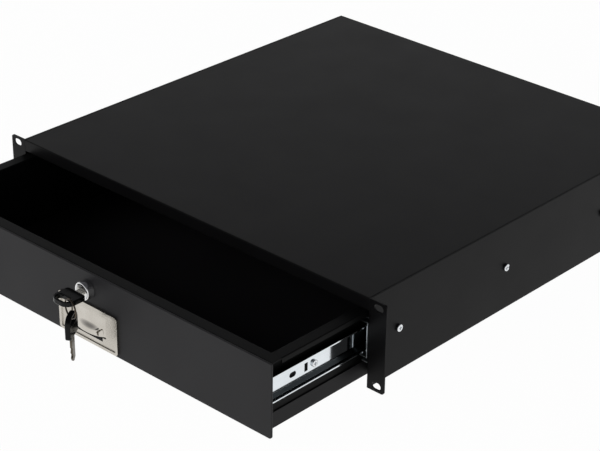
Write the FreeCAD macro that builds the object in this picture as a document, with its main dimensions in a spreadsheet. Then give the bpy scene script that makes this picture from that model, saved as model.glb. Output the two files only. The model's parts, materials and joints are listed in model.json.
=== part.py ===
import FreeCAD, Part
import os
import re
import Sketcher

# Sliding rack drawer, two rack units high.  +X is the right-hand side seen from the front,
# +Y runs back into the rack and +Z is up.  The origin is the middle of the four ear slots, on
# the ears' front plane.  The drawer is drawn pulled open by drawer_open.

doc = FreeCAD.newDocument("rack_drawer")
spec = doc.addObject("Spreadsheet::Sheet", "Spec")

# Driving sizes in millimetres.  Heights marked "up" are taken from the ears' lower edge, and
# depths marked "in" from the front face of the chassis or of the drawer.
driving = [
    # chassis
    ("rack_width", 482.6), ("panel_height", 88.1), ("ear_width", 17.9), ("chassis_depth", 460.0),
    ("side_sheet", 1.5), ("ear_corner", 3.0), ("slot_edge", 8.75), ("slot_margin", 5.95),
    ("slot_length", 10.0), ("slot_width", 6.8), ("cover_sheet", 1.2), ("cover_flange", 10.0),
    ("bend", 1.0), ("rail_height", 12.1), ("rail_return", 14.0), ("rear_flange", 13.5),
    ("screw_first", 38.0), ("screw_pitch", 150.0), ("screw_head_r", 3.5), ("screw_head", 2.4),
    ("screw_hole_r", 2.1), ("pin_fit", 0.05),
    # drawer
    ("drawer_open", 117.7), ("panel_gap", 0.5), ("panel_low", 2.7), ("panel_step", 0.1),
    ("front_sheet", 2.0), ("front_corner", 2.5), ("box_sheet", 1.2), ("box_low", 2.4),
    ("top_gap", 13.5), ("box_depth", 432.0), ("front_shelf", 10.6), ("brim_gap", 2.0),
    ("brim_lip", 5.0), ("floor_flange", 15.6),
    # slides
    ("slide_space", 12.7), ("slide_up", 44.4), ("gauge", 1.2), ("slide_length", 400.0),
    ("outer_in", 3.3), ("outer_half", 22.5), ("outer_reach", 3.0), ("middle_half", 17.6),
    ("middle_web", 8.4), ("middle_reach", 1.6), ("middle_length", 340.0), ("middle_in", 2.5),
    ("member_in", 3.0), ("member_half", 12.5), ("member_reach", 6.8),
    ("ball_clear", 0.2), ("cage_sheet", 0.6), ("cage_length", 140.0), ("ball_pitch", 80.0),
    ("inner_cage_in", 73.7), ("outer_cage_in", 121.6), ("inner_cage_u", 7.1),
    ("outer_cage_u", 10.25), ("inner_ball_u", 5.0), ("outer_ball_u", 7.0),
    # slam latch
    ("plate_half", 38.0), ("plate_low", 4.5), ("plate_top", 43.0), ("plate_corner", 4.0),
    ("plate_base", 1.0), ("rim", 2.6), ("rim_proud", 0.9), ("window_half", 22.6),
    ("window_low", 15.2), ("window_top", 36.5), ("recess_half", 24.3), ("recess_low", 13.2),
    ("recess_top", 42.0), ("recess_depth", 16.5), ("pivot_in", 15.7), ("pivot_up", 35.0),
    ("pivot_r", 1.5), ("hub_r", 3.0), ("hub_half", 6.0), ("bridge", 3.0), ("paddle_half", 22.0),
    ("paddle_sheet", 1.3), ("lip_out", 5.0), ("lip_up", 15.7), ("leaf_in", 0.3),
    ("leaf_top", 38.0), ("bulge_up", 31.0), ("bolt_half", 12.0), ("bolt_thick", 2.0),
    ("bolt_in", 3.9), ("bolt_low", 0.2), ("bolt_top", 38.4), ("bolt_clear", 0.3),
    ("spring_across", 15.0), ("spring_in", 9.7), ("spring_r", 2.1), ("wire_r", 0.4),
    ("tab_up", 31.2), ("tab_thick", 1.5), ("spring_turns", 3.0),
    # cam lock
    ("lock_up", 57.5), ("bezel_r", 9.4), ("bezel_proud", 4.5), ("barrel_r", 8.0),
    ("barrel_gap", 0.2), ("barrel_end", 14.0), ("nut_r", 11.5), ("nut_thick", 3.5),
    ("plug_r", 5.5), ("keyway", 8.4), ("keyway_tall", 2.2), ("cam_gap", 0.3),
    ("cam_thick", 1.5), ("cam_reach", 23.0), ("cam_half", 5.0), ("cam_screw_r", 3.4),
    ("cam_screw_head", 2.3),
    # keys
    ("bow_width", 24.0), ("bow_length", 20.0), ("bow_thick", 5.0), ("bow_bar", 3.0),
    ("bow_slot", 14.0), ("bow_slot_tall", 6.0), ("stem_width", 13.0), ("stem_length", 9.0),
    ("blade_width", 8.0), ("blade_thick", 2.0), ("blade_length", 18.5), ("blade_root", 4.0),
    ("key_stand", 0.3), ("ring_wire_r", 0.6), ("ring_inner_r", 8.4), ("ring_drop", 4.9),
    ("ring_yaw", -12.0), ("spare_yaw", -58.0), ("spare_lift", 1.6),
]

# Sizes that follow from the driving ones.
derived = [
    ("base", "-panel_height / 2"),
    ("rack_half", "rack_width / 2"),
    ("body_half", "rack_half - ear_width"),
    ("inside", "body_half - side_sheet"),
    ("wall", "inside - slide_space"),
    ("box_half", "wall - box_sheet"),
    ("brim", "inside - brim_gap"),
    ("panel_half", "inside - panel_gap"),
    ("box_in", "front_sheet + box_sheet"),
    ("shelf_end", "box_in + front_shelf"),
    ("flange_line", "inside - cover_sheet"),
    ("rail_low", "panel_height - rail_height"),
    ("slot_side", "rack_half - slot_edge"),
    ("slot_rise", "panel_height - slot_margin"),
    ("box_top", "panel_height - top_gap"),
    ("panel_top", "box_top - panel_step"),
    ("inner_ball_z", "(member_half + middle_half - gauge) / 2"),
    ("inner_ball_r", "(middle_half - gauge - member_half) / 2 - ball_clear"),
    ("outer_ball_z", "(middle_half + outer_half - gauge) / 2"),
    ("outer_ball_r", "(outer_half - gauge - middle_half) / 2 - ball_clear"),
    ("housing_back", "box_in + recess_depth"),
    ("bolt_back", "bolt_in + bolt_thick"),
    ("cam_in", "barrel_end + cam_gap"),
    ("bow_far", "-bezel_proud - key_stand - stem_length - bow_length"),
    ("bow_middle", "bow_far + bow_length / 2"),
    ("ring_in", "bow_far + bow_bar + bow_slot_tall / 2"),
    ("ring_across", "(bow_slot + bow_width) / 4 - 0.4"),
    ("ring_r", "ring_inner_r + ring_wire_r"),
]

aliases = set()
for row, (alias, amount) in enumerate(driving + derived, start=1):
    spec.set(f"A{row}", alias)
    spec.set(f"B{row}", str(amount) if isinstance(amount, float) else f"={amount}")
    spec.setAlias(f"B{row}", alias)
    aliases.add(alias)
doc.recompute()


def value(formula):
    """The number a formula over the sheet's names comes to."""
    return float(spec.evalExpression(str(formula)))


def bind(thing, prop, formula):
    """Tie a property to a formula over the sheet's names."""
    words = re.sub(r"[a-z_][a-z_0-9]*",
                   lambda m: f"Spec.{m.group()}" if m.group() in aliases else m.group(),
                   str(formula))
    thing.setExpression(prop, words)


def place(thing, x="0", y="0", z="base", yaw="0"):
    """Put a sub-part's own frame where it belongs in the drawer unit."""
    bind(thing, "Placement.Base.x", x)
    bind(thing, "Placement.Base.y", y)
    bind(thing, "Placement.Base.z", z)
    if yaw != "0":
        thing.Placement.Rotation = FreeCAD.Rotation(FreeCAD.Vector(0, 0, 1), value(yaw))
        bind(thing, "Placement.Rotation.Angle", yaw)
    return thing


def piece(label, x="0", y="0", z="base", yaw="0"):
    """An empty PartDesign body for one sub-part."""
    made = doc.addObject("PartDesign::Body", label)
    made.AllowCompound = True
    return place(made, x, y, z, yaw)


def origin_plane(made, role):
    return [item for item in made.Origin.OriginFeatures if item.Role == role][0]


def pin(sketch, geometry, point, u, v):
    """Fix one point of the sketch from the sketch's origin."""
    for kind, formula in (("DistanceX", u), ("DistanceY", v)):
        held = sketch.addConstraint(Sketcher.Constraint(kind, -1, 1, geometry, point, value(formula)))
        bind(sketch, f"Constraints[{held}]", formula)


def outline(*corners):
    """A closed outline through the corners, given as pairs of formulas."""
    def draw(sketch):
        spots = [FreeCAD.Vector(value(u), value(v), 0) for u, v in corners]
        lines = []
        for i, spot in enumerate(spots):
            lines.append(sketch.addGeometry(Part.LineSegment(spot, spots[(i + 1) % len(spots)]), False))
        for i, line in enumerate(lines):
            follower = lines[(i + 1) % len(lines)]
            sketch.addConstraint(Sketcher.Constraint("Coincident", line, 2, follower, 1))
        for line, (u, v) in zip(lines, corners):
            pin(sketch, line, 1, u, v)
    return draw


def block(u0, u1, v0, v1):
    """A rectangle between two pairs of limits."""
    return outline((u0, v0), (u1, v0), (u1, v1), (u0, v1))


def disc(u, v, radius):
    """A circle."""
    def draw(sketch):
        centre = FreeCAD.Vector(value(u), value(v), 0)
        circle = Part.Circle(centre, FreeCAD.Vector(0, 0, 1), value(radius))
        drawn = sketch.addGeometry(circle, False)
        pin(sketch, drawn, 3, u, v)
        held = sketch.addConstraint(Sketcher.Constraint("Radius", drawn, value(radius)))
        bind(sketch, f"Constraints[{held}]", radius)
    return draw


def ellipse_like(u, v, length, width):
    """A slot with round ends, its length along the sketch's first axis."""
    def draw(sketch):
        half = value(f"({length} - ({width})) / 2")
        radius = value(f"({width}) / 2")
        mid = FreeCAD.Vector(value(u), value(v), 0)
        right = mid + FreeCAD.Vector(half, 0, 0)
        left = mid - FreeCAD.Vector(half, 0, 0)
        up = FreeCAD.Vector(0, radius, 0)
        east = FreeCAD.Vector(radius, 0, 0)
        ends = []
        for centre, out in ((right, east), (left, east * -1)):
            first = centre - up if out.x > 0 else centre + up
            last = centre + up if out.x > 0 else centre - up
            ends.append(sketch.addGeometry(Part.Arc(first, centre + out, last), False))
        top = sketch.addGeometry(Part.LineSegment(right + up, left + up), False)
        low = sketch.addGeometry(Part.LineSegment(left - up, right - up), False)
        sketch.addConstraint(Sketcher.Constraint("Coincident", ends[0], 2, top, 1))
        sketch.addConstraint(Sketcher.Constraint("Coincident", top, 2, ends[1], 1))
        sketch.addConstraint(Sketcher.Constraint("Coincident", ends[1], 2, low, 1))
        sketch.addConstraint(Sketcher.Constraint("Coincident", low, 2, ends[0], 1))
        across = f"({length} - ({width})) / 2"
        upright = f"({width}) / 2"
        pin(sketch, top, 1, f"{u} + {across}", f"{v} + {upright}")
        pin(sketch, top, 2, f"{u} - {across}", f"{v} + {upright}")
        pin(sketch, low, 1, f"{u} - {across}", f"{v} - {upright}")
        pin(sketch, low, 2, f"{u} + {across}", f"{v} - {upright}")
        for end, sign in zip(ends, "+-"):
            reach = f"{u} {sign} {across}"
            held = sketch.addConstraint(Sketcher.Constraint("DistanceX", -1, 1, end, 3, value(reach)))
            bind(sketch, f"Constraints[{held}]", reach)
    return draw


def drawing(made, plane, start, loops):
    """A sketch parallel to one of the body's origin planes, at a distance along its axis."""
    sketch = made.newObject("Sketcher::SketchObject", f"{made.Label}_sketch")
    sketch.AttachmentSupport = [(origin_plane(made, f"{plane}_Plane"), "")]
    sketch.MapMode = "FlatFace"
    bind(sketch, "AttachmentOffset.Base.z", f"-({start})" if plane == "XZ" else start)
    for draw in loops:
        draw(sketch)
    return sketch


def add(made, plane, start, end, *loops):
    """Pad closed outlines from start to end along the axis square to the plane."""
    grown = made.newObject("PartDesign::Pad", f"{made.Label}_pad")
    grown.Profile = drawing(made, plane, start, loops)
    grown.Reversed = plane == "XZ"
    bind(grown, "Length", f"{end} - ({start})")
    return grown


def cut(made, plane, start, end, *loops):
    """Pocket closed outlines from start to end along the axis square to the plane."""
    before = made.Shape.Volume
    gone = made.newObject("PartDesign::Pocket", f"{made.Label}_pocket")
    gone.Profile = drawing(made, plane, start, loops)
    gone.Reversed = plane != "XZ"
    bind(gone, "Length", f"{end} - ({start})")
    doc.recompute()
    if made.Shape.Volume >= before:
        raise RuntimeError(f"a pocket of {made.Label} removed nothing")
    return gone


def soften(made, radius, chosen, kind="Fillet"):
    """Fillet or chamfer the edges whose middle point the test accepts."""
    doc.recompute()
    tip = made.Tip
    names = []
    for number, edge in enumerate(tip.Shape.Edges, start=1):
        middle = edge.valueAt((edge.FirstParameter + edge.LastParameter) / 2)
        if chosen(edge, middle.x, middle.y, middle.z):
            names.append(f"Edge{number}")
    if not names:
        raise RuntimeError(f"no edge of {made.Label} to soften")
    eased = made.newObject(f"PartDesign::{kind}", f"{made.Label}_{kind.lower()}")
    eased.Base = (tip, names)
    bind(eased, "Radius" if kind == "Fillet" else "Size", radius)
    doc.recompute()
    if "Invalid" in eased.State:
        raise RuntimeError(f"{made.Label}: edges {names} could not be softened")
    return eased


def near(number, formula):
    return abs(number - value(formula)) < 0.01


def span(side, inner, outer):
    """Limits along X for the right-hand (+1) or left-hand (-1) side."""
    return (inner, outer) if side > 0 else (f"-({outer})", f"-({inner})")


def mirrored(side, corners):
    """Corners measured outward from the middle, turned to one side."""
    return [(u if side > 0 else f"-({u})", v) for u, v in corners]


sides = (("left", -1), ("right", 1))
screw_rows = [f"screw_first + {i} * screw_pitch" for i in range(3)]

# ---------------------------------------------------------------- chassis
for name, side in sides:
    panel = piece(f"side_{name}")
    near_x, far_x = span(side, "inside", "body_half")
    add(panel, "YZ", near_x, far_x, block("0", "chassis_depth", "0", "panel_height"))
    ear = outline(*mirrored(side, [("inside", "0"), ("rack_half", "0"),
                                   ("rack_half", "panel_height"), ("inside", "panel_height")]))
    add(panel, "XZ", "0", "side_sheet", ear)
    doc.recompute()
    slot_x = "slot_side" if side > 0 else "-slot_side"
    cut(panel, "XZ", "0", "side_sheet",
        ellipse_like(slot_x, "slot_margin", "slot_length", "slot_width"),
        ellipse_like(slot_x, "slot_rise", "slot_length", "slot_width"))
    cut(panel, "YZ", near_x, far_x, *[disc(row, "slide_up", "screw_hole_r") for row in screw_rows])
    soften(panel, "ear_corner",
           lambda edge, x, y, z: near(abs(x), "rack_half") and near(y, "side_sheet / 2"))
    soften(panel, "bend / 2",
           lambda edge, x, y, z: near(abs(x), "inside") and near(y, "0"))

cover = piece("cover")
add(cover, "XY", "panel_height - cover_sheet", "panel_height",
    block("-inside", "inside", "0", "chassis_depth"))
add(cover, "XZ", "0", "cover_sheet", block("-inside", "inside", "rail_low", "panel_height"))
add(cover, "XY", "rail_low", "rail_low + cover_sheet", block("-inside", "inside", "0", "rail_return"))
for name, side in sides:
    near_x, far_x = span(side, "flange_line", "inside")
    add(cover, "YZ", near_x, far_x,
        block("rail_return", "chassis_depth - side_sheet", "panel_height - cover_sheet - cover_flange",
              "panel_height - cover_sheet"))
add(cover, "XZ", "chassis_depth - side_sheet - cover_sheet", "chassis_depth - side_sheet",
    block("-flange_line", "flange_line", "panel_height - cover_sheet - cover_flange",
          "panel_height - cover_sheet"))
soften(cover, "bend", lambda edge, x, y, z: near(z, "panel_height") and
       (near(abs(x), "inside") or near(y, "0")))
soften(cover, "bend / 2", lambda edge, x, y, z: near(z, "rail_low") and near(y, "0"))

pan = piece("bottom_pan")
add(pan, "XY", "0", "cover_sheet", block("-inside", "inside", "0", "chassis_depth"))
for name, side in sides:
    near_x, far_x = span(side, "flange_line", "inside")
    add(pan, "YZ", near_x, far_x,
        block("front_sheet + panel_gap", "chassis_depth - side_sheet",
              "cover_sheet", "cover_sheet + cover_flange"))
doc.recompute()
cut(pan, "XY", "0", "cover_sheet",
    block("-bolt_half - 2 * bolt_clear", "bolt_half + 2 * bolt_clear",
          "bolt_in - bolt_clear", "bolt_back + 4 * bolt_clear"))
soften(pan, "bend / 2", lambda edge, x, y, z: near(z, "0") and near(y, "0"))

rear = piece("rear_panel")
add(rear, "XZ", "chassis_depth - side_sheet", "chassis_depth",
    block("-inside", "inside", "cover_sheet", "panel_height - cover_sheet"))
for name, side in sides:
    near_x, far_x = span(side, "flange_line", "inside")
    add(rear, "YZ", near_x, far_x,
        block("chassis_depth - side_sheet - rear_flange", "chassis_depth - side_sheet",
              "2 * cover_sheet + cover_flange", "panel_height - 2 * cover_sheet - cover_flange"))

# ---------------------------------------------------------------- slides
# u is the distance outward from the drawer's side wall; the slides' middle line is slide_up.
def channel(side, web_near, web_far, reach, half, sheet):
    """A C section open toward the drawer."""
    corners = [(web_far, f"-({half})"), (web_far, half), (reach, half), (reach, f"{half} - {sheet}"),
               (web_near, f"{half} - {sheet}"), (web_near, f"{sheet} - ({half})"),
               (reach, f"{sheet} - ({half})"), (reach, f"-({half})")]
    return outline(*mirrored(side, [(f"wall + {u}", f"slide_up + {v}") for u, v in corners]))


middle_y = "middle_in"
for name, side in sides:
    outer = piece(f"slide_outer_{name}")
    add(outer, "XZ", "outer_in", "outer_in + slide_length",
        channel(side, "slide_space - gauge", "slide_space", "outer_reach", "outer_half", "gauge"))
    stop_near, stop_far = span(side, "wall + outer_reach + 2 * gauge", "wall + slide_space - gauge")
    add(outer, "XZ", "outer_in + slide_length - gauge", "outer_in + slide_length",
        block(stop_near, stop_far, "slide_up - 5 * gauge", "slide_up + 5 * gauge"))
    doc.recompute()
    hole_near, hole_far = span(side, "wall + slide_space - gauge", "wall + slide_space")
    cut(outer, "YZ", hole_near, hole_far, *[disc(row, "slide_up", "screw_hole_r") for row in screw_rows])

    middle = piece(f"slide_middle_{name}")
    add(middle, "XZ", "middle_in", "middle_in + middle_length",
        channel(side, "middle_web", "middle_web + gauge", "middle_reach", "middle_half", "gauge"))

    member = piece(f"slide_drawer_{name}", y="-drawer_open")
    half = [("0", "member_half - 4.5"), ("2.6", "member_half"), ("member_reach", "member_half"),
            ("member_reach", "member_half - gauge"), ("3.3", "member_half - gauge"),
            ("gauge", "member_half - 4.8")]
    corners = half + [(u, f"-({v})") for u, v in reversed(half)]
    add(member, "XZ", "member_in", "member_in + slide_length",
        outline(*mirrored(side, [(f"wall + {u}", f"slide_up + {v}") for u, v in corners])))
    doc.recompute()
    web_near, web_far = span(side, "wall", "wall + gauge")
    cut(member, "YZ", web_near, web_far,
        ellipse_like("member_in + 33.9", "slide_up", "8", "5"),
        *[disc(f"member_in + 59.5 + {i} * screw_pitch", "slide_up", "screw_hole_r") for i in range(3)],
        *[block(f"member_in + {48.1 + 150 * i}", f"member_in + {52.1 + 150 * i}",
                "slide_up - 4", "slide_up + 4") for i in range(3)])

    for ring_name, web_u, ball_u, ball_z, ball_r, start in (
            ("inner", "inner_cage_u", "inner_ball_u", "inner_ball_z", "inner_ball_r", "inner_cage_in"),
            ("outer", "outer_cage_u", "outer_ball_u", "outer_ball_z", "outer_ball_r", "outer_cage_in")):
        cage = piece(f"{ring_name}_cage_{name}")
        add(cage, "XZ", start, f"{start} + cage_length",
            channel(side, web_u, f"{web_u} + cage_sheet", f"{ball_u} - {ball_r} - 0.6",
                    f"{ball_z} + cage_sheet / 2", "cage_sheet"))
        doc.recompute()
        seat = f"wall + {ball_u}" if side > 0 else f"-(wall + {ball_u})"
        window = f"({ball_r} + 0.15)"
        rows = [f"{start} + cage_length / 2 + {i} * ball_pitch" for i in (-0.5, 0.5)]
        cut(cage, "XY", f"slide_up - {ball_z} - cage_sheet", f"slide_up + {ball_z} + cage_sheet",
            *[block(f"{seat} - {window}", f"{seat} + {window}", f"{row} - {window}", f"{row} + {window}")
              for row in rows])

def faceted(u, v, radius):
    """An octagon about a point."""
    near_side, far_side = f"0.924 * {radius}", f"0.383 * {radius}"
    turns = [(near_side, far_side, 1, 1), (far_side, near_side, 1, 1), (far_side, near_side, -1, 1),
             (near_side, far_side, -1, 1), (near_side, far_side, -1, -1), (far_side, near_side, -1, -1),
             (far_side, near_side, 1, -1), (near_side, far_side, 1, -1)]
    return outline(*[(f"{u} + {i} * {a}", f"{v} + {j} * {b}") for a, b, i, j in turns])


# The balls have few faces: octagonal drums with broad bevels, one above and one below each seat.
for ring_name, ball_u, ball_z, ball_r, start in (
        ("inner", "inner_ball_u", "inner_ball_z", "inner_ball_r", "inner_cage_in"),
        ("outer", "outer_ball_u", "outer_ball_z", "outer_ball_r", "outer_cage_in")):
    balls = piece(f"{ring_name}_balls")
    for level in (-1, 1):
        middle = f"slide_up + {level} * {ball_z}"
        add(balls, "XY", f"{middle} - {ball_r}", f"{middle} + {ball_r}",
            *[faceted(f"{side} * (wall + {ball_u})", f"{start} + cage_length / 2 + {i} * ball_pitch", ball_r)
              for side in (-1, 1) for i in (-0.5, 0.5)])
    soften(balls, f"{ball_r} * 0.5",
           lambda edge, x, y, z: edge.Length < value(ball_r), kind="Chamfer")

# Screws through the chassis sides into the outer members, and through the drawer members.
cabinet = piece("cabinet_screws")
for name, side in sides:
    near_x, far_x = span(side, "wall + slide_space - gauge", "body_half")
    add(cabinet, "YZ", near_x, far_x,
        *[disc(row, "slide_up", "screw_hole_r - pin_fit") for row in screw_rows])
    near_x, far_x = span(side, "body_half", "body_half + screw_head")
    add(cabinet, "YZ", near_x, far_x, *[disc(row, "slide_up", "screw_head_r") for row in screw_rows])

member_screws = piece("drawer_screws", y="-drawer_open")
for name, side in sides:
    rows = [f"member_in + 59.5 + {i} * screw_pitch" for i in range(3)]
    near_x, far_x = span(side, "box_half", "wall + gauge")
    add(member_screws, "YZ", near_x, far_x, *[disc(row, "slide_up", "screw_hole_r - pin_fit") for row in rows])
    near_x, far_x = span(side, "wall + gauge", "wall + 2.6 * gauge")
    add(member_screws, "YZ", near_x, far_x, *[disc(row, "slide_up", "screw_head_r - 0.3") for row in rows])

# ---------------------------------------------------------------- drawer
def drawer_piece(label, **where):
    return piece(label, y="-drawer_open", **where)


front = drawer_piece("front_panel")
add(front, "XZ", "0", "front_sheet", block("-panel_half", "panel_half", "panel_low", "panel_top"))
doc.recompute()
recess = block("-recess_half", "recess_half", "recess_low", "recess_top")
barrel_hole = disc("0", "lock_up", "barrel_r + barrel_gap")
cut(front, "XZ", "0", "front_sheet", recess, barrel_hole)
soften(front, "front_corner",
       lambda edge, x, y, z: near(abs(x), "panel_half") and near(z, "panel_low"))

box_front = drawer_piece("box_front")
add(box_front, "XZ", "front_sheet", "box_in", block("-wall", "wall", "box_low + box_sheet", "box_top"))
add(box_front, "XY", "box_top - box_sheet", "box_top", block("-brim", "brim", "front_sheet", "shelf_end"))
doc.recompute()
cut(box_front, "XZ", "front_sheet", "box_in", recess, barrel_hole)
soften(box_front, "bend", lambda edge, x, y, z: near(z, "box_top") and near(y, "front_sheet"))

for name, side in sides:
    box_side = drawer_piece(f"box_side_{name}")
    near_x, far_x = span(side, "box_half", "wall")
    add(box_side, "YZ", near_x, far_x,
        block("box_in", "front_sheet + box_depth", "box_low + box_sheet", "box_top - box_sheet"))
    near_x, far_x = span(side, "box_half", "brim")
    add(box_side, "XY", "box_top - box_sheet", "box_top",
        block(near_x, far_x, "shelf_end", "front_sheet + box_depth"))
    near_x, far_x = span(side, "brim - box_sheet", "brim")
    add(box_side, "YZ", near_x, far_x,
        block("shelf_end", "front_sheet + box_depth", "box_top - brim_lip", "box_top"))
    doc.recompute()
    near_x, far_x = span(side, "box_half", "wall")
    cut(box_side, "YZ", near_x, far_x,
        *[disc(f"member_in + 59.5 + {i} * screw_pitch", "slide_up", "screw_hole_r") for i in range(3)])
    soften(box_side, "bend", lambda edge, x, y, z: near(z, "box_top") and near(abs(x), "brim"))
    soften(box_side, "bend", lambda edge, x, y, z: near(z, "box_top") and near(abs(x), "box_half"))

floor = drawer_piece("box_bottom")
add(floor, "XY", "box_low", "box_low + box_sheet",
    block("-wall - box_sheet", "wall + box_sheet", "front_sheet", "front_sheet + box_depth"))
for name, side in sides:
    near_x, far_x = span(side, "wall", "wall + box_sheet")
    add(floor, "YZ", near_x, far_x,
        block("box_in", "front_sheet + box_depth", "box_low", "box_low + floor_flange"))
doc.recompute()
cut(floor, "XY", "box_low", "box_low + box_sheet",
    block("-bolt_half - bolt_clear", "bolt_half + bolt_clear",
          "bolt_in - bolt_clear", "bolt_back + bolt_clear"))

back = drawer_piece("box_back")
add(back, "XZ", "front_sheet + box_depth - box_sheet", "front_sheet + box_depth",
    block("-box_half", "box_half", "box_low + box_sheet", "box_top - 2 * box_sheet"))
add(back, "XY", "box_top - 2 * box_sheet", "box_top - box_sheet",
    block("-box_half", "box_half", "front_sheet + box_depth - front_shelf", "front_sheet + box_depth"))

# ---------------------------------------------------------------- slam latch
bezel = drawer_piece("latch_plate")
add(bezel, "XZ", "-plate_base", "0", block("-plate_half", "plate_half", "plate_low", "plate_top"))
soften(bezel, "plate_corner",
       lambda edge, x, y, z: near(abs(x), "plate_half") and near(y, "-plate_base / 2"))
doc.recompute()
rim_out = block("-window_half - rim", "window_half + rim", "window_low - rim", "window_top + rim")
add(bezel, "XZ", "-plate_base - rim_proud", "-plate_base", rim_out)
doc.recompute()
cut(bezel, "XZ", "-plate_base - rim_proud", "0",
    block("-window_half", "window_half", "window_low", "window_top"))

housing = drawer_piece("latch_housing")
for name, side in sides:
    near_x, far_x = span(side, "recess_half", "recess_half + gauge")
    add(housing, "YZ", near_x, far_x,
        block("box_in", "housing_back + gauge", "recess_low - gauge", "recess_top + gauge"))
    near_x, far_x = span(side, "recess_half + gauge", "recess_half + 5 * gauge")
    add(housing, "XZ", "box_in", "box_in + gauge", block(near_x, far_x, "recess_low", "recess_top"))
add(housing, "XZ", "housing_back", "housing_back + gauge",
    block("-recess_half", "recess_half", "recess_low - gauge", "recess_top + gauge"))
add(housing, "XY", "recess_top", "recess_top + gauge",
    block("-recess_half", "recess_half", "box_in", "housing_back"))
add(housing, "XY", "recess_low - gauge", "recess_low",
    block("-recess_half", "recess_half", "bolt_back + bolt_clear", "housing_back"))
doc.recompute()
cut(housing, "YZ", "-recess_half - gauge", "recess_half + gauge", disc("pivot_in", "pivot_up", "pivot_r"))

axle = drawer_piece("latch_pin")
add(axle, "YZ", "-recess_half - gauge", "recess_half + gauge", disc("pivot_in", "pivot_up", "pivot_r"))

paddle = drawer_piece("latch_paddle")
skin = [("leaf_in", "leaf_top"), ("leaf_in", "bulge_up"), ("leaf_in - 1.5", "bulge_up - 3.5"),
        ("leaf_in - 0.68 * lip_out", "lip_up + 6.4"), ("-lip_out", "lip_up + 1.6"), ("-lip_out", "lip_up + 0.3"),
        ("-lip_out + 0.4", "lip_up"), ("-lip_out + 2.0", "lip_up"), ("-lip_out + 2.0", "lip_up + 1.2"),
        ("-lip_out + 1.4", "lip_up + 2.0"), ("leaf_in - 0.68 * lip_out + paddle_sheet", "lip_up + 7.0"),
        ("leaf_in - 0.1", "bulge_up - 3.5"), ("leaf_in + paddle_sheet", "bulge_up - 0.4"),
        ("leaf_in + paddle_sheet", "leaf_top")]
add(paddle, "YZ", "-paddle_half", "paddle_half", outline(*skin))
add(paddle, "YZ", "-hub_half", "hub_half",
    block("leaf_in + paddle_sheet / 2", "pivot_in", "pivot_up - bridge / 2", "pivot_up + bridge / 2"))
add(paddle, "YZ", "-hub_half", "hub_half", disc("pivot_in", "pivot_up", "hub_r"))
doc.recompute()
cut(paddle, "YZ", "-hub_half", "hub_half", disc("pivot_in", "pivot_up", "pivot_r + pin_fit"))

bolt = drawer_piece("latch_bolt")
add(bolt, "XZ", "bolt_in", "bolt_back", block("-bolt_half", "bolt_half", "bolt_low", "bolt_top"))
add(bolt, "XY", "tab_up - tab_thick", "tab_up",
    block("bolt_half - 3", "spring_across + spring_r + 1.4", "bolt_in", "spring_in + spring_r + 1.1"))
doc.recompute()
cut(bolt, "XZ", "bolt_in", "bolt_back",
    block("-hub_half - 0.4", "hub_half + 0.4", "pivot_up - bridge / 2 - 0.6", "pivot_up + bridge / 2 + 0.6"))
soften(bolt, "bolt_thick * 0.7",
       lambda edge, x, y, z: near(z, "bolt_low") and near(y, "bolt_back"), kind="Chamfer")

coil = doc.addObject("Part::Helix", "spring_line")
bind(coil, "Pitch", "(recess_top - tab_up - 2 * wire_r - 0.2) / spring_turns")
bind(coil, "Height", "recess_top - tab_up - 2 * wire_r - 0.2")
bind(coil, "Radius", "spring_r")
wire = doc.addObject("Part::RegularPolygon", "spring_wire")
wire.Polygon = 4
bind(wire, "Circumradius", "wire_r")
bind(wire, "Placement.Base.x", "spring_r")
wire.Placement.Rotation = FreeCAD.Rotation(FreeCAD.Vector(1, 0, 0), 90)
spring = doc.addObject("Part::Sweep", "latch_spring")
spring.Sections = [wire]
spring.Spine = (coil, [])
spring.Solid = True
spring.Frenet = True
place(spring, "spring_across", "spring_in - drawer_open", "base + tab_up + wire_r + 0.1")

# ---------------------------------------------------------------- cam lock
lock = drawer_piece("lock_body", z="base + lock_up")
add(lock, "XZ", "-bezel_proud", "0", disc("0", "0", "bezel_r"))
add(lock, "XZ", "0", "barrel_end", disc("0", "0", "barrel_r"))
doc.recompute()
cut(lock, "XZ", "-bezel_proud", "barrel_end", disc("0", "0", "plug_r + pin_fit"))
soften(lock, "bezel_r / 12", lambda edge, x, y, z: near(y, "-bezel_proud") and
       edge.Curve.Radius > value("plug_r + 1"), kind="Chamfer")

nut = drawer_piece("lock_nut", z="base + lock_up")
half_flat = "nut_r * 0.866"
add(nut, "XZ", "box_in", "box_in + nut_thick",
    outline(("nut_r", "0"), ("nut_r / 2", half_flat), ("-nut_r / 2", half_flat), ("-nut_r", "0"),
            ("-nut_r / 2", f"-{half_flat}"), ("nut_r / 2", f"-{half_flat}")))
doc.recompute()
cut(nut, "XZ", "box_in", "box_in + nut_thick", disc("0", "0", "barrel_r"))

plug = drawer_piece("lock_plug", z="base + lock_up")
add(plug, "XZ", "-bezel_proud + 0.3", "barrel_end + cam_gap", disc("0", "0", "plug_r"))
doc.recompute()
cut(plug, "XZ", "-bezel_proud + 0.3", "barrel_end - 0.2",
    block("-keyway / 2", "keyway / 2", "-keyway_tall / 2", "keyway_tall / 2"))

cam = drawer_piece("lock_cam", z="base + lock_up")
add(cam, "XZ", "cam_in", "cam_in + cam_thick",
    block("-cam_reach", "0", "-cam_half", "cam_half"), )
add(cam, "XZ", "cam_in", "cam_in + cam_thick", disc("0", "0", "cam_half + 1.5"))
soften(cam, "cam_half * 0.6",
       lambda edge, x, y, z: near(x, "-cam_reach") and near(y, "cam_in + cam_thick / 2"))

cam_screw = drawer_piece("cam_screw", z="base + lock_up")
add(cam_screw, "XZ", "cam_in + cam_thick", "cam_in + cam_thick + cam_screw_head",
    disc("0", "0", "cam_screw_r"))


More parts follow.
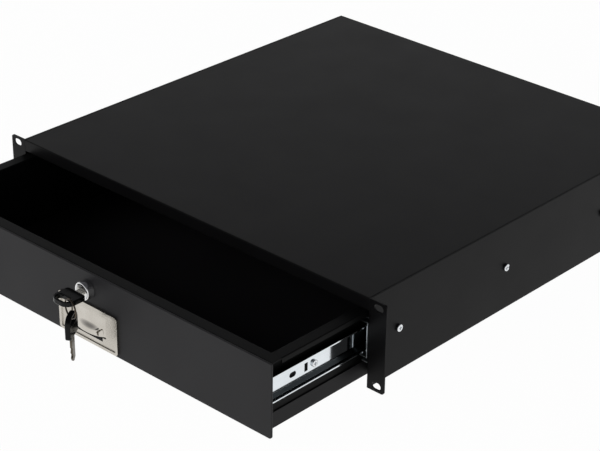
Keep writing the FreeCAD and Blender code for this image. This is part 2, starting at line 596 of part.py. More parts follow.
# ---------------------------------------------------------------- keys
# A key is drawn with its bow's far end at 0 and its tip along +Y; the bow lies flat.
def key_pieces(prefix):
    head = piece(f"{prefix}_head")
    add(head, "XY", "-bow_thick / 2", "bow_thick / 2",
        ellipse_like("0", "bow_length / 2", "bow_width", "bow_length"))
    add(head, "XY", "-bow_thick / 2", "bow_thick / 2",
        block("-stem_width / 2", "stem_width / 2", "bow_length / 2", "bow_length + stem_length"))
    soften(head, "bow_thick * 0.24",
           lambda edge, x, y, z: near(abs(z), "bow_thick / 2"), kind="Chamfer")
    doc.recompute()
    cut(head, "XY", "-bow_thick / 2", "bow_thick / 2",
        ellipse_like("0", "bow_bar + bow_slot_tall / 2", "bow_slot", "bow_slot_tall"))
    blade = piece(f"{prefix}_blade")
    base_y = "bow_length + stem_length"
    ridge = [("-blade_width / 2", base_y), ("blade_width / 2", base_y)]
    for i, bite in enumerate((0.0, 1.6, 0.6, 2.2, 1.0)):
        ridge.append((f"blade_width / 2 - {bite}", f"{base_y} + {2.4 + 3.0 * i}"))
        ridge.append((f"blade_width / 2 - {bite}", f"{base_y} + {3.6 + 3.0 * i}"))
    ridge += [("1", f"{base_y} + blade_length"), ("-1", f"{base_y} + blade_length"),
              ("-blade_width / 2", f"{base_y} + blade_length - 2.5")]
    add(blade, "XY", "-blade_thick / 2", "blade_thick / 2", outline(*ridge))
    return head, blade


for shape in key_pieces("key"):
    place(shape, "0", "bow_far - drawer_open", "base + lock_up")

ring = piece("key_ring")
wire_half = "ring_wire_r * 0.5"
wire_tall = "ring_wire_r * 0.866"
section = drawing(ring, "XZ", "0", [outline(
    ("ring_r + ring_wire_r", "0"), (f"ring_r + {wire_half}", wire_tall),
    (f"ring_r - {wire_half}", wire_tall), ("ring_r - ring_wire_r", "0"),
    (f"ring_r - {wire_half}", f"-{wire_tall}"), (f"ring_r + {wire_half}", f"-{wire_tall}"))])
hoop = ring.newObject("PartDesign::Revolution", "key_ring_hoop")
hoop.Profile = section
hoop.ReferenceAxis = (section, ["V_Axis"])
upright = FreeCAD.Rotation(FreeCAD.Vector(1, 0, 0), 90)
turned = FreeCAD.Rotation(FreeCAD.Vector(0, 0, 1), value("ring_yaw"))
ring.Placement = FreeCAD.Placement(FreeCAD.Vector(), turned.multiply(upright))
place(ring, "ring_across", "ring_in - drawer_open", "base + lock_up - ring_drop")

spare_turn = FreeCAD.Rotation(FreeCAD.Vector(0, 0, 1), value("spare_yaw"))
hanging = FreeCAD.Rotation(FreeCAD.Vector(1, 0, 0), -90)
for shape in key_pieces("spare_key"):
    shape.Placement = FreeCAD.Placement(FreeCAD.Vector(), spare_turn.multiply(hanging))
    place(shape, "ring_across", "ring_in - drawer_open",
          "base + lock_up - ring_drop - ring_r + spare_lift + bow_bar")

# ---------------------------------------------------------------- output
doc.recompute()
parts = []
for thing in doc.Objects:
    if "Invalid" in thing.State or "Error" in thing.State:
        raise RuntimeError(f"{thing.Label} did not recompute")
    solid_kind = thing.TypeId in ("PartDesign::Body", "Part::Sweep")
    if solid_kind:
        parts.append(thing)
for thing in parts:
    if thing.Shape.isNull() or not thing.Shape.isValid():
        raise RuntimeError(f"{thing.Label} has no sound shape")
os.makedirs("parts", exist_ok=True)
for thing in parts:
    thing.Shape.exportStep(f"parts/{thing.Label}.step")
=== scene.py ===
import json
import math
import bpy
from mathutils import Matrix, Vector


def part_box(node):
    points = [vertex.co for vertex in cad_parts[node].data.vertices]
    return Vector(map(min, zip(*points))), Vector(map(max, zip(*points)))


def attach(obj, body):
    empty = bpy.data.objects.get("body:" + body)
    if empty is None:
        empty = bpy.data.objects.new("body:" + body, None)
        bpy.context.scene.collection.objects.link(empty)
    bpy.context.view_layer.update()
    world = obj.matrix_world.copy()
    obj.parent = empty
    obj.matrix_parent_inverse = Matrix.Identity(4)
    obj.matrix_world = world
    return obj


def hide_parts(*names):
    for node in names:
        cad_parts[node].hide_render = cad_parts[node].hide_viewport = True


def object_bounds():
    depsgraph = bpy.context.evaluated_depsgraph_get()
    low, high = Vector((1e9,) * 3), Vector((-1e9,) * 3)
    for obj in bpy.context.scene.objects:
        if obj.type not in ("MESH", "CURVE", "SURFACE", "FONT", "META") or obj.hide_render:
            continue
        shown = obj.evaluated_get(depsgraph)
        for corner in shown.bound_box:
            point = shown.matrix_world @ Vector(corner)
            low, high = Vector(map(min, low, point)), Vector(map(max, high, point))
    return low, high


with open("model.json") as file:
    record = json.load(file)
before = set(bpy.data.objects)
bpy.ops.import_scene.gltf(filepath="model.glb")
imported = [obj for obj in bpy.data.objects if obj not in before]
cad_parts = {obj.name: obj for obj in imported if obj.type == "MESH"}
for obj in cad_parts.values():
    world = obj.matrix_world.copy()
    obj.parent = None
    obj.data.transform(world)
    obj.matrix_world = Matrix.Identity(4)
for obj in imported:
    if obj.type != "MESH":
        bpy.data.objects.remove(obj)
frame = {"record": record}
cad_low, cad_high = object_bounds()
body_of_node = {node: body for body, nodes in frame["record"]["behaviour"]["bodies"].items() for node in nodes}

# --- Camera ---------------------------------------------------------------------------------
# It stands in front of the unit, to its right and above it, and looks down into the open drawer.
azimuth, elevation, roll = math.radians(41.508), math.radians(29.924), math.radians(1.326)
back = Vector((math.sin(azimuth) * math.cos(elevation), -math.cos(azimuth) * math.cos(elevation),
               math.sin(elevation)))
level = Vector((math.cos(azimuth), math.sin(azimuth), 0))
upward = back.cross(level)
right = math.cos(roll) * level + math.sin(roll) * upward
up = math.cos(roll) * upward - math.sin(roll) * level
lens = bpy.data.cameras.new("camera")
lens.sensor_width = 36
lens.lens = 115.47
lens.shift_x = -0.0554
lens.shift_y = 0.1321
camera = bpy.data.objects.new("camera", lens)
camera.matrix_world = (Matrix.Translation((1.12486, -1.06578, cad_low.z + 0.88484))
                       @ Matrix((right, up, back)).transposed().to_4x4())
bpy.context.collection.objects.link(camera)
bpy.context.scene.camera = camera
bpy.context.scene.view_settings.view_transform = "Standard"


# --- Room -----------------------------------------------------------------------------------
# A white floor and a white horizon under a ceiling that darkens overhead. One broad lamp at the
# front left lights the unit softly and is not mirrored in it.
class Shade:
    """A shader socket, so that maths on surfaces reads as arithmetic."""

    def __init__(self, tree, socket=None):
        self.tree = tree
        self.socket = socket

    def feed(self, socket, given):
        """Link a shade to a socket, or set the socket's own value."""
        if isinstance(given, Shade):
            self.tree.links.new(given.socket, socket)
        else:
            socket.default_value = given

    def node(self, kind, settings=None, inputs=None, out=0):
        """Any node: its settings first, then its inputs; gives one output as a shade."""
        made = self.tree.nodes.new(kind)
        for name, setting in (settings or {}).items():
            if name == "stops":
                ramp = made.color_ramp
                while len(ramp.elements) > len(setting):
                    ramp.elements.remove(ramp.elements[-1])
                while len(ramp.elements) < len(setting):
                    ramp.elements.new(1.0)
                for element, (position, tone) in zip(ramp.elements, setting):
                    element.position = position
                    element.color = (*tone, 1.0)
            else:
                setattr(made, name, setting)
        for name, given in (inputs or {}).items():
            self.feed(made.inputs[name], given)
        return Shade(self.tree, made.outputs[out] if len(made.outputs) else None)

    def maths(self, operation, first, second):
        return self.node("ShaderNodeMath", {"operation": operation}, {0: first, 1: second})

    def __add__(self, other):
        return self.maths("ADD", self, other)

    __radd__ = __add__

    def __mul__(self, other):
        return self.maths("MULTIPLY", self, other)

    def __sub__(self, other):
        return self.maths("SUBTRACT", self, other)

    def between(self, low, high):
        """The part of the way from low to high, held within 0 and 1."""
        return self.node("ShaderNodeMapRange", {"clamp": True},
                         {"Value": self, "From Min": low, "From Max": high})

    def mix(self, dark, light):
        """A colour between two, by this shade."""
        return self.node("ShaderNodeMix", {"data_type": "RGBA"},
                         {0: self, 6: (*dark, 1.0), 7: (*light, 1.0)}, out=2)


world = bpy.data.worlds.new("room")
bpy.context.scene.world = world
world.use_nodes = True
air = Shade(world.node_tree)
world.node_tree.nodes.clear()
aim = air.node("ShaderNodeTexCoord", out=0)
height = air.node("ShaderNodeSeparateXYZ", inputs={"Vector": aim}, out=2)
wall_tones = [(0.0, (1.0, 1.0, 1.0)), (0.12, (1.0, 1.0, 1.0)), (0.40, (0.50, 0.50, 0.51)),
              (0.56, (0.12, 0.12, 0.13)), (1.0, (0.05, 0.05, 0.055))]
wall = air.node("ShaderNodeValToRGB", {"stops": wall_tones}, {"Fac": height})
air.node("ShaderNodeOutputWorld", inputs={
    "Surface": air.node("ShaderNodeBackground", inputs={"Color": wall, "Strength": 1.0})})

bpy.ops.mesh.primitive_plane_add(size=24, location=(0, 0, cad_low.z))
floor = bpy.context.object
floor.name = "floor"
floor_paint = bpy.data.materials.new("floor")
floor_paint.use_nodes = True
floor_paint.node_tree.nodes.clear()
ground = Shade(floor_paint.node_tree)
matt = ground.node("ShaderNodeBsdfDiffuse", inputs={"Color": (0.93, 0.93, 0.93, 1.0)})
glow = ground.node("ShaderNodeEmission", inputs={"Color": (1.0, 1.0, 1.0, 1.0), "Strength": 1.0})
looked_at, glossed, through = (ground.node("ShaderNodeLightPath", out=name)
                               for name in ("Is Camera Ray", "Is Glossy Ray", "Is Transmission Ray"))
clear = looked_at.maths("MAXIMUM", looked_at.maths("MAXIMUM", looked_at, glossed), through)
glow_share = 0.98
ground.node("ShaderNodeOutputMaterial", inputs={
    "Surface": ground.node("ShaderNodeMixShader", inputs={0: clear * glow_share, 1: matt, 2: glow})})
floor.data.materials.append(floor_paint)

lamp = bpy.data.lights.new("front_lamp", "AREA")
lamp.shape = "RECTANGLE"
lamp.size, lamp.size_y = 2.0, 1.2
lamp.energy = 36
lamp_holder = bpy.data.objects.new("front_lamp", lamp)
lamp_at = Vector((-1.5, -2.4, 1.5))
lamp_holder.matrix_world = (Matrix.Translation(lamp_at)
                            @ lamp_at.to_track_quat("Z", "Y").to_matrix().to_4x4())
bpy.context.collection.objects.link(lamp_holder)
lamp_holder.visible_glossy = False


# --- Case -----------------------------------------------------------------------------------
# Folded steel sheet: two sides with the rack ears, a top with its front rail, a bottom pan and a
# rear panel, all in a smooth satin black powder coat.
def finish(name, base, roughness, metallic=0.0, **sockets):
    """A principled material; a socket takes a value, or a function that gives a shade."""
    made = bpy.data.materials.new(name)
    made.use_nodes = True
    surface = made.node_tree.nodes["Principled BSDF"]
    shade = Shade(made.node_tree)
    sockets.update(Base_Color=base, Roughness=roughness, Metallic=metallic)
    for socket, given in sockets.items():
        shade.feed(surface.inputs[socket.replace("_", " ")], given(shade) if callable(given) else given)
    return made


def grain(shade, scale, detail, stretch=(1.0, 1.0, 1.0)):
    """Noise over the piece's own coordinates, in metres, stretched if asked."""
    place = shade.node("ShaderNodeTexCoord", out=3)
    placed = shade.node("ShaderNodeMapping", inputs={"Vector": place, "Scale": stretch})
    return shade.node("ShaderNodeTexNoise", inputs={"Vector": placed, "Scale": scale, "Detail": detail})


def powder_coat(name, dark, light, sheen, roughness=0.42):
    """Satin powder coat: an even black with a faint orange peel and a gloss that wanders."""
    def colour(shade):
        return grain(shade, 9.0, 4.0).between(0.3, 0.7).mix(dark, light)

    def gloss(shade):
        return roughness + (grain(shade, 22.0, 4.0) - 0.5) * 0.10

    def peel(shade):
        return shade.node("ShaderNodeBump", inputs={"Strength": 0.10, "Distance": 0.0002,
                                                    "Height": grain(shade, 900.0, 2.0)})
    return finish(name, colour, gloss, Normal=peel, Specular_IOR_Level=sheen)


def take_place(made, material, node):
    """Give the piece its material and let it stand for the solid, on the solid's body."""
    made.data.materials.clear()
    made.data.materials.append(material)
    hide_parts(node)
    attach(made, body_of_node[node])
    return made


def select_only(*pieces):
    """Select these pieces and nothing else, with the first one active."""
    bpy.ops.object.select_all(action="DESELECT")
    for each in pieces:
        each.select_set(True)
    bpy.context.view_layer.objects.active = pieces[0]


def welded(node):
    """A copy of a solid with its loose triangles merged into faces."""
    made = bpy.data.objects.new(f"{node}_eased", bpy.data.objects[node].data.copy())
    bpy.context.collection.objects.link(made)
    select_only(made)
    bpy.ops.object.mode_set(mode="EDIT")
    bpy.ops.mesh.select_all(action="SELECT")
    bpy.ops.mesh.remove_doubles(threshold=0.000002)
    bpy.ops.mesh.dissolve_limited(angle_limit=math.radians(0.5))
    bpy.ops.object.mode_set(mode="OBJECT")
    return made


def shaded(made, smooth=35):
    """Smooth shading in which the broad flat faces keep their own direction."""
    select_only(made)
    bpy.ops.object.shade_smooth_by_angle(angle=math.radians(smooth))
    made.modifiers.new("facing", "WEIGHTED_NORMAL").keep_sharp = True
    bpy.ops.object.modifier_apply(modifier="facing")
    return made


def round_edges(made, width, steps=2, corner=30, smooth=35):
    """Round every edge sharper than the corner angle, and shade the piece smooth."""
    select_only(made)
    rounding = made.modifiers.new("edges", "BEVEL")
    rounding.width = width
    rounding.segments = steps
    rounding.limit_method = "ANGLE"
    rounding.angle_limit = math.radians(corner)
    bpy.ops.object.modifier_apply(modifier="edges")
    return shaded(made, smooth)


def eased(node, material, edge):
    """The solid with rounded edges, or plain ones at edge 0, which takes the solid's place."""
    made = welded(node)
    if edge:
        round_edges(made, edge)
    else:
        shaded(made)
    return take_place(made, material, node)


def open_mesh(made, kind, test):
    """Go into edit mode with only the faces or edges selected that the test accepts."""
    select_only(made)
    bpy.ops.object.mode_set(mode="EDIT")
    bpy.ops.mesh.select_mode(type="FACE" if kind == "faces" else "EDGE")
    bpy.ops.mesh.select_all(action="DESELECT")
    bpy.ops.object.mode_set(mode="OBJECT")
    points = made.data.vertices
    if kind == "faces":
        for face in made.data.polygons:
            face.select = test(face.center, face.normal)
    else:
        for line in made.data.edges:
            first, last = (points[i].co for i in line.vertices)
            line.select = test((first + last) / 2, (last - first).normalized())
    bpy.ops.object.mode_set(mode="EDIT")


def close_mesh():
    """Leave edit mode."""
    bpy.ops.object.mode_set(mode="OBJECT")


clear_past = 0.01


def slab(name, low, high):
    """A block between two corners, with its place in its mesh."""
    low, high = Vector(low), Vector(high)
    bpy.ops.object.select_all(action="DESELECT")
    bpy.ops.mesh.primitive_cube_add(size=1, location=(low + high) / 2)
    made = bpy.context.object
    made.name = name
    made.scale = high - low
    bpy.ops.object.transform_apply(location=True, rotation=True, scale=True)
    return made


def carve(made, cutter, operation="DIFFERENCE"):
    """Take the cutter's shape out of a piece, or join it on."""
    cutting = made.modifiers.new("carve", "BOOLEAN")
    cutting.object = cutter
    cutting.operation = operation
    cutting.solver = "EXACT"
    select_only(made)
    bpy.ops.object.modifier_apply(modifier="carve")
    bpy.data.objects.remove(cutter)
    return made


case_black = powder_coat("case_black", (0.0030, 0.0029, 0.0032), (0.0042, 0.0041, 0.0044), sheen=0.10)
sheet_edge = 0.00035
for node in ("cover", "side_left", "side_right", "rear_panel"):
    eased(node, case_black, edge=sheet_edge)
pan = welded("bottom_pan")
pan_low, pan_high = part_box("bottom_pan")
# The pan is set back under the drawer, apart from the strike for the latch's bolt in the middle.
pan_set_back, strike_half = 0.020, 0.030
for near_x, far_x in ((pan_low.x - clear_past, -strike_half), (strike_half, pan_high.x + clear_past)):
    carve(pan, slab("front_strip", (near_x, -clear_past, pan_low.z - clear_past),
                    (far_x, pan_set_back, pan_high.z + clear_past)))
round_edges(pan, sheet_edge)
take_place(pan, case_black, "bottom_pan")

# --- Drawer ---------------------------------------------------------------------------------
# The front panel is a thicker plate whose black coat is painted paler: painted light on its face. The
# box behind it is folded sheet, its coat painted darker as painted shade, and the box's floor, between
# the two in tone, is painted paler than the box as painted light.
# Paler than the case's coat: painted light on the front panel's face.
front_black_painted_light = powder_coat("front_black_painted_light", (0.014, 0.0137, 0.015), (0.018, 0.0176, 0.019), sheen=0.18,
                          roughness=0.46)
# Darker than the case's coat: painted shade inside the drawer box.
box_black_painted_shade = powder_coat("box_black_painted_shade", (0.0024, 0.0025, 0.0025), (0.0036, 0.0037, 0.0037), sheen=0.06)
# Paler than the box's coat: painted light on the drawer's floor.
tray_black_painted_light = powder_coat("tray_black_painted_light", (0.0095, 0.0090, 0.0100), (0.0125, 0.0120, 0.0130), sheen=0.12)
box_edge = 0.0003
eased("front_panel", front_black_painted_light, edge=sheet_edge)
for node in ("box_front", "box_side_left", "box_side_right", "box_back"):
    eased(node, box_black_painted_shade, edge=box_edge)
eased("box_bottom", tray_black_painted_light, edge=box_edge)


# --- Slides ---------------------------------------------------------------------------------
# Cold-rolled steel channels in bright, slightly blue zinc, with loose ball cages; on the drawer
# members the raceway faces that tilt up or down carry a painted dark reflection.
def bright_zinc(name, dark, light, roughness, run=(40.0, 1.0, 40.0), bump=0.10, wander=0.14):
    """Zinc plate: faint lines along the length and cloudy patches."""
    def colour(shade):
        cloud = grain(shade, 30.0, 4.0)
        line = grain(shade, 30.0, 3.0, stretch=run)
        return (cloud * 0.6 + line * 0.4).between(0.3, 0.7).mix(dark, light)

    def gloss(shade):
        return roughness + (grain(shade, 30.0, 3.0, stretch=run) - 0.5) * wander

    def drawn(shade):
        return shade.node("ShaderNodeBump", inputs={"Strength": bump, "Distance": 0.0001,
                                                    "Height": grain(shade, 60.0, 3.0, stretch=run)})
    return finish(name, colour, gloss, metallic=1.0, Normal=drawn)


member_zinc = bright_zinc("member_zinc", (0.70, 0.74, 0.77), (0.80, 0.84, 0.87), roughness=0.08,
                          bump=0.0, wander=0.03)
channel_zinc = bright_zinc("channel_zinc", (0.40, 0.44, 0.46), (0.52, 0.55, 0.57), roughness=0.34)
# A dark zinc that paints a dark reflection on the drawer members' raceway faces.
raceway_zinc_painted_reflection = bright_zinc("raceway_zinc_painted_reflection", (0.022, 0.027, 0.030), (0.045, 0.052, 0.056), roughness=0.22,
                           bump=0.03)
member_edge, painted_reflection_tilt, painted_reflection_area = 0.00025, 0.3, 0.0001
for node in ("slide_drawer_left", "slide_drawer_right"):
    member = eased(node, member_zinc, edge=member_edge)
    member.data.materials.append(raceway_zinc_painted_reflection)
    # Broad faces that tilt up or down past the limit take the dark zinc: painted dark reflection.
    for side_face in member.data.polygons:
        if abs(side_face.normal.z) > painted_reflection_tilt and side_face.area > painted_reflection_area:
            side_face.material_index = 1
for node in ("slide_middle_left", "slide_middle_right", "slide_outer_left", "slide_outer_right"):
    eased(node, channel_zinc, edge=member_edge)
for node in ("inner_cage_left", "inner_cage_right", "outer_cage_left", "outer_cage_right",
             "inner_balls", "outer_balls"):
    eased(node, channel_zinc, edge=0)

# --- Slam latch -----------------------------------------------------------------------------
# A nickel-plated plate with a raised rim, and behind its window a pressed paddle that lifts by
# the hood over the finger slot. The paddle's arm works the bolt.
def nickel(name, dark, light, roughness):
    """Polished nickel or chrome: a warm or neutral metal with a faint brushed grain."""
    def colour(shade):
        return grain(shade, 60.0, 4.0).between(0.3, 0.7).mix(dark, light)

    def gloss(shade):
        return roughness + (grain(shade, 120.0, 3.0, stretch=(1.0, 1.0, 8.0)) - 0.5) * 0.12

    def rolled(shade):
        brushed = grain(shade, 400.0, 2.0, stretch=(1.0, 1.0, 6.0))
        return shade.node("ShaderNodeBump", inputs={"Strength": 0.08, "Distance": 0.0001, "Height": brushed})
    return finish(name, colour, gloss, metallic=1.0, Normal=rolled)


plate_nickel = nickel("plate_nickel", (0.50, 0.47, 0.42), (0.58, 0.55, 0.50), 0.26)
paddle_nickel = nickel("paddle_nickel", (0.50, 0.47, 0.42), (0.60, 0.57, 0.52), 0.12)
hidden_zinc = bright_zinc("hidden_zinc", (0.34, 0.34, 0.34), (0.46, 0.46, 0.46), roughness=0.4)


def rod(name, radius, length, middle, turn, sides):
    """A round bar about a point, turned from upright, with its place in its mesh."""
    bpy.ops.object.select_all(action="DESELECT")
    bpy.ops.mesh.primitive_cylinder_add(vertices=sides, radius=radius, depth=length, location=middle,
                                        rotation=turn)
    made = bpy.context.object
    made.name = name
    bpy.ops.object.transform_apply(location=True, rotation=True, scale=True)
    return made


joint_of = {joint["name"]: joint for joint in frame["record"]["behaviour"]["joints"]}
base = cad_low.z
plate_low, plate_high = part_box("latch_plate")
face = plate_high.y
plate_corner, plate_edge, window_corner = 0.0035, 0.0003, 0.0012
rim_outer, rim_inner, step_run, step_in = 0.0005, 0.0023, 0.0004, 0.0011
lip, leaf_top, paddle_half = base + 0.0157, base + 0.0380, 0.0220
window_half, window_low, window_top = 0.0225, lip - 0.0004, base + 0.0365
slot_half, slot_low, slot_into_window = 0.0180, base + 0.0116, 0.001
plate = slab("latch_plate_pressed", plate_low, plate_high)
open_mesh(plate, "edges", lambda middle, way: abs(way.y) > 0.9)
bpy.ops.mesh.bevel(offset=plate_corner, segments=6)
close_mesh()
open_mesh(plate, "faces", lambda middle, normal: normal.y < -0.9)
bpy.ops.mesh.inset(thickness=rim_outer, depth=0)
bpy.ops.mesh.inset(thickness=rim_inner, depth=0)
bpy.ops.mesh.inset(thickness=step_run, depth=-step_in)
close_mesh()
window = slab("window", (-window_half, plate_low.y - clear_past, window_low),
              (window_half, plate_high.y + clear_past, window_top))
open_mesh(window, "edges", lambda middle, way: abs(way.y) > 0.9)
bpy.ops.mesh.bevel(offset=window_corner, segments=3)
close_mesh()
carve(plate, window)
carve(plate, slab("finger_slot", (-slot_half, plate_low.y - clear_past, slot_low),
                  (slot_half, plate_high.y + clear_past, window_low + slot_into_window)))
take_place(round_edges(plate, plate_edge, 3), plate_nickel, "latch_plate")

# The paddle is one pressed sheet just behind the window. Its lower edge is drawn out through the
# window into a hood over the finger slot: upright at the lip, then curving back into the sheet.
hood_half, hood_tall, lip_tall, hood_out = 0.0176, 0.0106, 0.0030, 0.0044
hood_fullness = 0.7
tucked, sheet = face + 0.0003, 0.0010
bpy.ops.object.select_all(action="DESELECT")
bpy.ops.mesh.primitive_grid_add(x_subdivisions=66, y_subdivisions=48, size=1)
paddle = bpy.context.object
paddle.name = "latch_paddle_pressed"
for point in paddle.data.vertices:
    across = point.co.x * 2 * paddle_half
    rise = (point.co.y + 0.5) * (leaf_top - lip)
    broad = max(1 - (across / hood_half) ** 2, 0.0) ** hood_fullness
    lift = min(max((hood_tall - rise) / (hood_tall - lip_tall), 0.0), 1.0)
    hood = hood_out * broad * lift * lift * (3 - 2 * lift)
    point.co = (across, tucked - hood, lip + rise)
select_only(paddle)
bpy.ops.object.mode_set(mode="EDIT")
bpy.ops.mesh.select_all(action="SELECT")
bpy.ops.mesh.normals_make_consistent(inside=False)
bpy.ops.object.mode_set(mode="OBJECT")
if paddle.data.polygons[0].normal.y > 0:
    paddle.data.flip_normals()
wall = paddle.modifiers.new("wall", "SOLIDIFY")
wall.thickness = sheet
wall.offset = -1
wall.use_even_offset = False
bpy.ops.object.modifier_apply(modifier="wall")
pivot = Vector(joint_of["latch_pull"]["pos_m"])
hub_half, hub_r, arm_half, bore_r = 0.006, 0.003, 0.0015, 0.00155
along_x = (0, math.pi / 2, 0)
arm = slab("arm", (-hub_half, tucked + sheet / 2, pivot.z - arm_half), (hub_half, pivot.y, pivot.z + arm_half))
carve(arm, rod("hub", hub_r, 2 * hub_half, pivot, along_x, sides=40), "UNION")
carve(arm, rod("bore", bore_r, 4 * hub_half, pivot, along_x, sides=40))
select_only(paddle, arm)
bpy.ops.object.join()
round_edges(paddle, 0.00025, 3, corner=50, smooth=50)
take_place(paddle, paddle_nickel, "latch_paddle")
inner_edge = 0.0002
for node in ("latch_housing", "latch_pin", "latch_bolt"):
    eased(node, hidden_zinc, edge=inner_edge)
eased("latch_spring", hidden_zinc, edge=0)

# --- Cam lock -------------------------------------------------------------------------------
# A turned and chromed body that stands well out of the panel, a keyed plug in it, and a zinc cam
# held by a screw at the back.
chrome = nickel("chrome", (0.72, 0.72, 0.72), (0.82, 0.82, 0.82), 0.16)
plug_chrome = nickel("plug_chrome", (0.64, 0.63, 0.60), (0.74, 0.73, 0.70), 0.24)
lock_low, lock_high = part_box("lock_body")
lock_axis = Vector((0, 0, (lock_low.z + lock_high.z) / 2))
lock_out, lock_r, barrel_r, plug_r, plug_play = 0.0075, 0.0086, 0.0080, 0.0055, 0.00005
nose_round, foot_flare, lock_edge, fitting_edge = 0.0013, 1.09, 0.00035, 0.0003
nose = face - lock_out


def turned(name, radius, near_y, far_y):
    """A round bar along Y about the lock's axis."""
    middle = (0, (near_y + far_y) / 2, lock_axis.z)
    return rod(name, radius, far_y - near_y, middle, (math.pi / 2, 0, 0), sides=72)


lock = turned("lock_body_turned", lock_r, nose, face)
open_mesh(lock, "faces", lambda middle, normal: normal.y > 0.9)
bpy.ops.transform.resize(value=(foot_flare, 1, foot_flare), center_override=(0, face, lock_axis.z))
close_mesh()
open_mesh(lock, "edges", lambda middle, way: middle.y < nose + 0.0001)
bpy.ops.mesh.bevel(offset=nose_round, segments=5)
close_mesh()
carve(lock, turned("barrel", barrel_r, face - 0.0002, lock_high.y), "UNION")
carve(lock, turned("bore", plug_r + plug_play, nose - clear_past, lock_high.y + clear_past))
take_place(round_edges(lock, lock_edge, 3), chrome, "lock_body")

plug_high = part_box("lock_plug")[1]
plug_sunk, plug_floor = 0.0003, 0.0005
keyway_half, keyway_tall = 0.0042, 0.0011
plug = turned("lock_plug_turned", plug_r, nose + plug_sunk, plug_high.y)
carve(plug, slab("keyway", (-keyway_half, nose - clear_past, lock_axis.z - keyway_tall),
                 (keyway_half, plug_high.y - plug_floor, lock_axis.z + keyway_tall)))
take_place(round_edges(plug, inner_edge), plug_chrome, "lock_plug")
for node in ("lock_nut", "lock_cam", "cam_screw"):
    eased(node, hidden_zinc, edge=fitting_edge)

# --- Keys -----------------------------------------------------------------------------------
# Nickel-plated blades with moulded gloss black heads; one is in the lock, and the worn spare
# hangs from it on a dark split ring.
def key_plastic(name, dark, light, roughness, sheen):
    """Moulded plastic: a near-black with a gloss that wanders a little."""
    def colour(shade):
        return grain(shade, 200.0, 3.0).between(0.3, 0.7).mix(dark, light)

    def gloss(shade):
        return roughness + (grain(shade, 160.0, 3.0) - 0.5) * 0.10
    return finish(name, colour, gloss, Specular_IOR_Level=sheen)


key_black = key_plastic("key_black", (0.0022, 0.0022, 0.0024), (0.004, 0.004, 0.0044), 0.14, sheen=0.16)
blade_nickel = nickel("blade_nickel", (0.50, 0.49, 0.46), (0.66, 0.64, 0.60), 0.24)
worn_nickel = nickel("worn_nickel", (0.07, 0.060, 0.045), (0.16, 0.14, 0.11), 0.34)
ring_brass = nickel("ring_brass", (0.06, 0.048, 0.036), (0.12, 0.095, 0.07), 0.32)
bow_half, bow_long, bow_thick = 0.01165, 0.022, 0.0025
bow_round_far, bow_round_near, bow_edge = 0.0088, 0.0028, 0.0009
eye_half, eye_near, eye_far, eye_round = 0.0078, 0.0025, 0.0098, 0.00295
shoulder_half, shoulder_into_bow, blade_start, blade_thick = 0.004, 0.004, 0.0292, 0.001


def key_head(name):
    """A flat moulded bow with an eye, its far end at the origin and the blade's way along +Y."""
    made = slab(name, (-bow_half, 0, -bow_thick), (bow_half, bow_long, bow_thick))
    for rounding, level in ((bow_round_far, 0.0), (bow_round_near, bow_long)):
        open_mesh(made, "edges", lambda middle, way: abs(way.z) > 0.9 and abs(middle.y - level) < 0.0001)
        bpy.ops.mesh.bevel(offset=rounding, segments=10)
        close_mesh()
    eye = slab("eye", (-eye_half, eye_near, -clear_past), (eye_half, eye_far, clear_past))
    open_mesh(eye, "edges", lambda middle, way: abs(way.z) > 0.9)
    bpy.ops.mesh.bevel(offset=eye_round, segments=8)
    close_mesh()
    carve(made, eye)
    return round_edges(made, bow_edge, 4, corner=40)


def key_shank(name):
    """The bare part of the blade between the bow and the cut part."""
    return slab(name, (-shoulder_half, bow_long - shoulder_into_bow, -blade_thick),
                (shoulder_half, blade_start, blade_thick))


def moved(made, matrix):
    """Put a piece in its place and keep that place in its mesh."""
    select_only(made)
    made.matrix_world = matrix
    bpy.ops.object.transform_apply(location=True, rotation=True, scale=True)
    return made


in_lock = Matrix.Translation((0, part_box("key_head")[0].y, lock_axis.z))
head_above_ring, spare_turn, blade_edge = 0.0046, -58.0, 0.00012
hung_at = Vector(joint_of["spare_key_swing"]["pos_m"]) + Vector((0, 0, head_above_ring))
hanging = (Matrix.Translation(hung_at) @ Matrix.Rotation(math.radians(spare_turn), 4, "Z")
           @ Matrix.Rotation(math.radians(-90.0), 4, "X"))
for prefix, place, metal in (("key", in_lock, blade_nickel), ("spare_key", hanging, worn_nickel)):
    take_place(moved(key_head(f"{prefix}_head_moulded"), place), key_black, f"{prefix}_head")
    blade = welded(f"{prefix}_blade")
    shank = moved(key_shank("shank"), place)
    select_only(blade, shank)
    bpy.ops.object.join()
    round_edges(blade, blade_edge)
    take_place(blade, metal, f"{prefix}_blade")

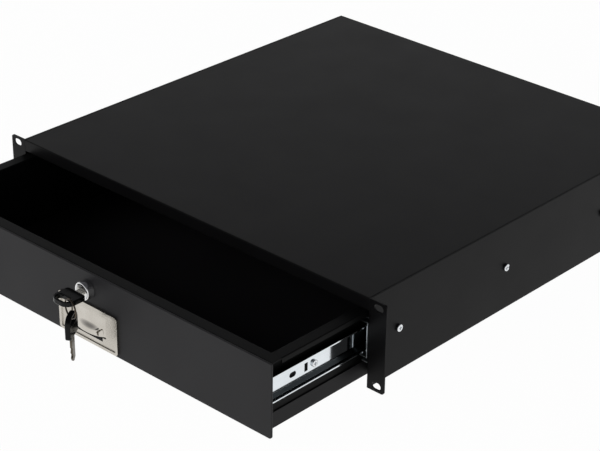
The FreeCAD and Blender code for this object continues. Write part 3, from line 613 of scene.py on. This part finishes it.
# The ring is a split one: two turns of thin wire, side by side.
ring_low, ring_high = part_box("key_ring")
ring_axis = Vector(joint_of["ring_swing"]["axis"])
ring_wire, turn_gap = 0.0005, 0.0003
ring_r = (ring_high.z - ring_low.z) / 2 - ring_wire
ring_middle = (ring_low + ring_high) / 2
turns = []
for side in (-1, 1):
    bpy.ops.object.select_all(action="DESELECT")
    bpy.ops.mesh.primitive_torus_add(major_radius=ring_r, minor_radius=ring_wire, major_segments=72,
                                     minor_segments=12, location=ring_middle + ring_axis * side * turn_gap,
                                     rotation=ring_axis.to_track_quat("Z", "Y").to_euler())
    bpy.ops.object.transform_apply(location=True, rotation=True, scale=True)
    turns.append(bpy.context.object)
select_only(*turns)
bpy.ops.object.join()
turns[0].name = "key_ring_split"
take_place(shaded(turns[0], smooth=60), ring_brass, "key_ring")

# --- Screws ---------------------------------------------------------------------------------
# Pan-head machine screws with cross recesses: bright ones hold the slides in the case and the
# drawer.
screw_zinc = bright_zinc("screw_zinc", (0.72, 0.74, 0.76), (0.84, 0.86, 0.88), roughness=0.2,
                         run=(1.0, 1.0, 1.0))
recess_long, recess_wide, recess_deep, past_head = 0.0019, 0.0005, 0.0010, 0.001
head_edge, face_band, screw_spread = 0.0008, 0.0002, 0.02
for node in ("cabinet_screws", "drawer_screws"):
    screws = round_edges(welded(node), head_edge, 4)
    low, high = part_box(node)
    heads = {}
    for point in screws.data.vertices:
        if abs(point.co.x) > max(abs(low.x), abs(high.x)) - face_band:
            heads.setdefault((point.co.x > 0, round(point.co.y / screw_spread)), []).append(point.co.copy())
    for (right_hand, _), spots in heads.items():
        centre = sum(spots, Vector()) / len(spots)
        low_x, high_x = ((high.x - recess_deep, high.x + past_head) if right_hand
                         else (low.x - past_head, low.x + recess_deep))
        for long_y, long_z in ((recess_long, recess_wide), (recess_wide, recess_long)):
            carve(screws, slab("cross", (low_x, centre.y - long_y, centre.z - long_z),
                               (high_x, centre.y + long_y, centre.z + long_z)))
    take_place(screws, screw_zinc, node)
